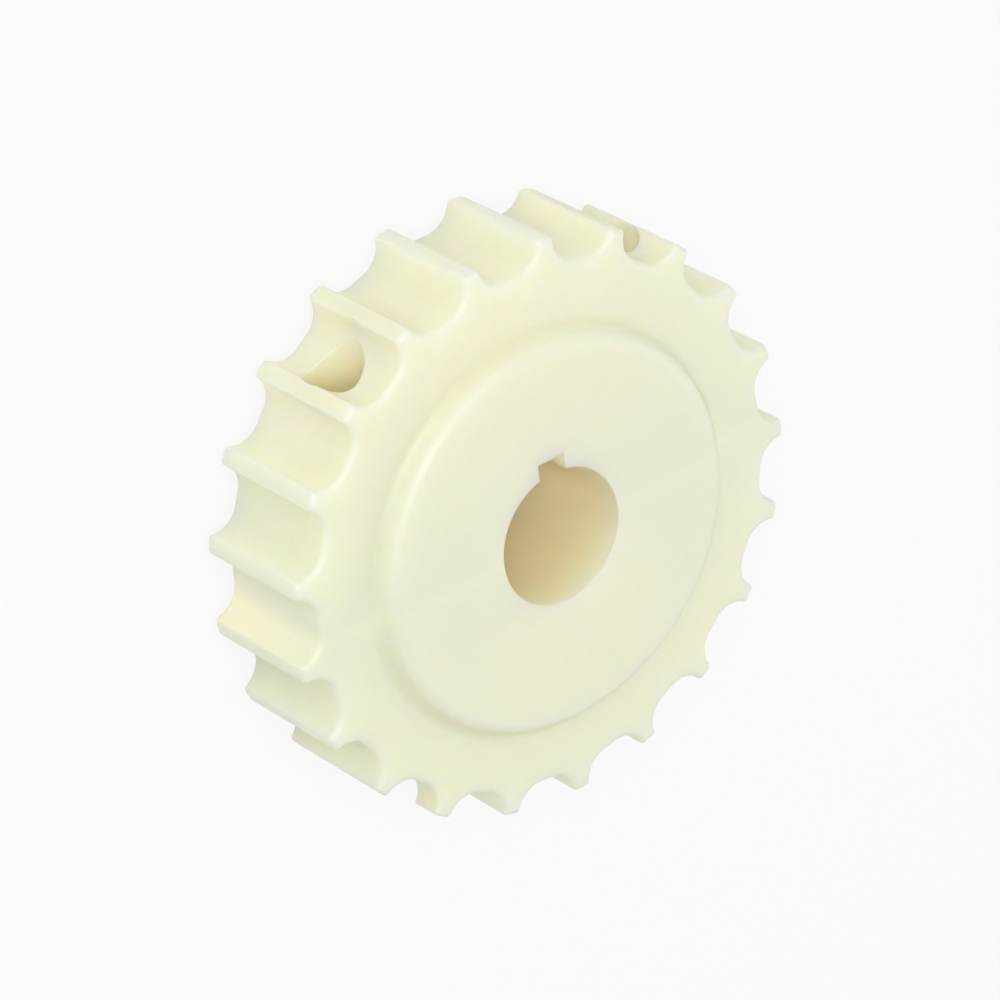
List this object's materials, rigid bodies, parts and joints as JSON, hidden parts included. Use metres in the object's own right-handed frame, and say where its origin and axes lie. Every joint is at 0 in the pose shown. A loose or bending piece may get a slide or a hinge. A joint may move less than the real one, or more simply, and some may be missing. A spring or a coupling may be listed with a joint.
{
  "type": "split sprocket",
  "caption": "Thick toothed wheel with hollow tooth gaps, raised bosses and a keyed bore, split through its axis into halves that clamp screws pull together on a shaft.",
  "frame": {"origin": "on the bore's axis, at the back hub face", "axes": "+Z along the bore towards the front hub face, +Y through the middle of the keyway, and the joint between the halves in the XZ plane"},
  "size_m": [0.1326, 0.1323, 0.0412],
  "materials": {
    "polyamide": "natural, machined, slightly translucent",
    "steel": "stainless, bright"
  },
  "bodies": {
    "root": {"keyway_half": "polyamide", "plain_half": "polyamide", "clamp_screw_left": "steel", "nut_washer_left": "steel", "hex_nut_left": "steel", "clamp_screw_right": "steel", "nut_washer_right": "steel", "hex_nut_right": "steel"}
  },
  "joints": []
}
